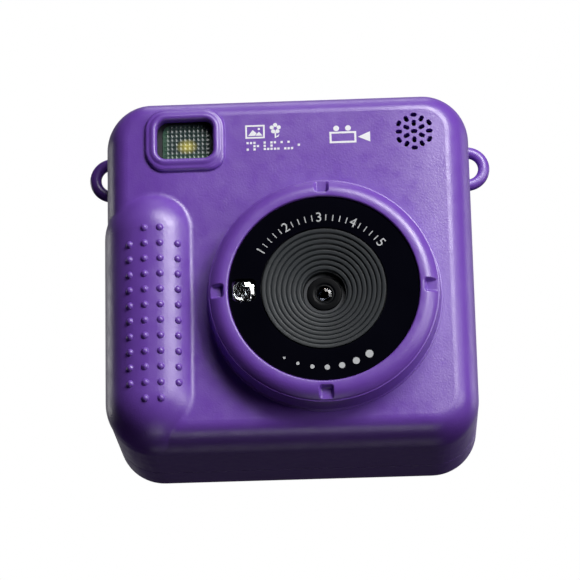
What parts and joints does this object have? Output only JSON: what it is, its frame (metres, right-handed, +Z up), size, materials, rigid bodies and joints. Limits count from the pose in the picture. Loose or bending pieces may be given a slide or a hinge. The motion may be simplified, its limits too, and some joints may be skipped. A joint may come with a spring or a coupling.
{
  "type": "compact digital camera",
  "caption": "Square children's digital camera with a round lens barrel, studded grip, flash, speaker grille, strap eyes, rear screen and keys, and a hinged port cover.",
  "frame": {"origin": "middle of the flat base, halfway between the front face and the back", "axes": "+Z up; -Y is where the lens looks; +X is the side away from the grip, on the right when the lens is seen"},
  "size_m": [0.1008, 0.0532, 0.091],
  "materials": {
    "body_plastic": "satin moulded plastic with a fine spark texture",
    "key_plastic": "satin moulded plastic",
    "black_gloss": "polished",
    "dark_plastic": "matte",
    "lens_glass": "coated, polished",
    "clear_plastic": "clear, polished",
    "screen_glass": "polished, black border",
    "screen_panel": "dark, switched off",
    "steel": "plated",
    "switch_metal": "stamped and plated",
    "reflector": "metallised",
    "lamp": "phosphor yellow",
    "chip": "matte, moulded",
    "circuit_board": "green solder mask",
    "flex": "amber film",
    "connector": "moulded",
    "battery_wrap": "foil pouch",
    "foam": "soft foam or silicone",
    "soft_cover": "soft-touch",
    "wire": "insulated"
  },
  "bodies": {
    "camera": {"assist_lamp": "lamp", "assist_window": "clear_plastic", "battery_cell": "battery_wrap", "battery_connector": "connector", "battery_lead": "wire", "battery_tape": "foam", "board_components": "chip", "button_board": "circuit_board", "button_flex": "flex", "button_switches": "switch_metal", "card_socket": "switch_metal", "case_screws": "steel", "display_bracket": "dark_plastic", "display_flex": "flex", "display_gasket": "foam", "display_module": "screen_panel", "flash_board": "circuit_board", "flash_lamp": "lamp", "flash_reflector": "reflector", "flash_window": "clear_plastic", "front_shell": "body_plastic", "image_sensor": "chip", "infrared_filter": "lens_glass", "key_domes": "switch_metal", "lens_barrel": "dark_plastic", "lens_cone": "dark_plastic", "lens_front_glass": "lens_glass", "lens_holder": "dark_plastic", "lens_panel": "black_gloss", "lens_rear_glass": "lens_glass", "lens_ring": "body_plastic", "main_board": "circuit_board", "memory_card": "dark_plastic", "microphone": "switch_metal", "microphone_boot": "foam", "port_cover_pin": "steel", "processor": "chip", "rear_cover": "body_plastic", "ribbon_connectors": "connector", "screen_window": "screen_glass", "sensor_board": "circuit_board", "sensor_flex": "flex", "small_screws": "steel", "speaker_cone": "dark_plastic", "speaker_frame": "dark_plastic", "speaker_gasket": "foam", "speaker_magnet": "steel", "status_lamp": "lamp", "status_light_pipe": "clear_plastic", "usb_socket": "switch_metal"},
    "shutter": {"shutter_button": "key_plastic"},
    "power": {"power_button": "key_plastic"},
    "up_key": {"key_up": "key_plastic"},
    "down_key": {"key_down": "key_plastic"},
    "left_key": {"key_left": "key_plastic"},
    "right_key": {"key_right": "key_plastic"},
    "ok_key": {"key_ok": "key_plastic"},
    "menu_key": {"key_menu": "key_plastic"},
    "play_key": {"key_play": "key_plastic"},
    "port_door": {"port_cover": "soft_cover"}
  },
  "joints": [
    {"name": "shutter_press", "type": "slide", "parent": "camera", "child": "shutter", "axis": [0, 0, -1], "range_m": [0, 0.0012]},
    {"name": "power_press", "type": "slide", "parent": "camera", "child": "power", "axis": [0, 0, -1], "range_m": [0, 0.0006]},
    {"name": "up_press", "type": "slide", "parent": "camera", "child": "up_key", "axis": [0, -1, 0], "range_m": [0, 0.0006]},
    {"name": "down_press", "type": "slide", "parent": "camera", "child": "down_key", "axis": [0, -1, 0], "range_m": [0, 0.0006]},
    {"name": "left_press", "type": "slide", "parent": "camera", "child": "left_key", "axis": [0, -1, 0], "range_m": [0, 0.0006]},
    {"name": "right_press", "type": "slide", "parent": "camera", "child": "right_key", "axis": [0, -1, 0], "range_m": [0, 0.0006]},
    {"name": "ok_press", "type": "slide", "parent": "camera", "child": "ok_key", "axis": [0, -1, 0], "range_m": [0, 0.0006]},
    {"name": "menu_press", "type": "slide", "parent": "camera", "child": "menu_key", "axis": [0, -1, 0], "range_m": [0, 0.0006]},
    {"name": "play_press", "type": "slide", "parent": "camera", "child": "play_key", "axis": [0, -1, 0], "range_m": [0, 0.0006]},
    {"name": "port_door_hinge", "type": "hinge", "parent": "camera", "child": "port_door", "pos_m": [0.0439, 0.0152, 0.0365], "axis": [0, 0, 1], "range_deg": [0, 95]}
  ]
}
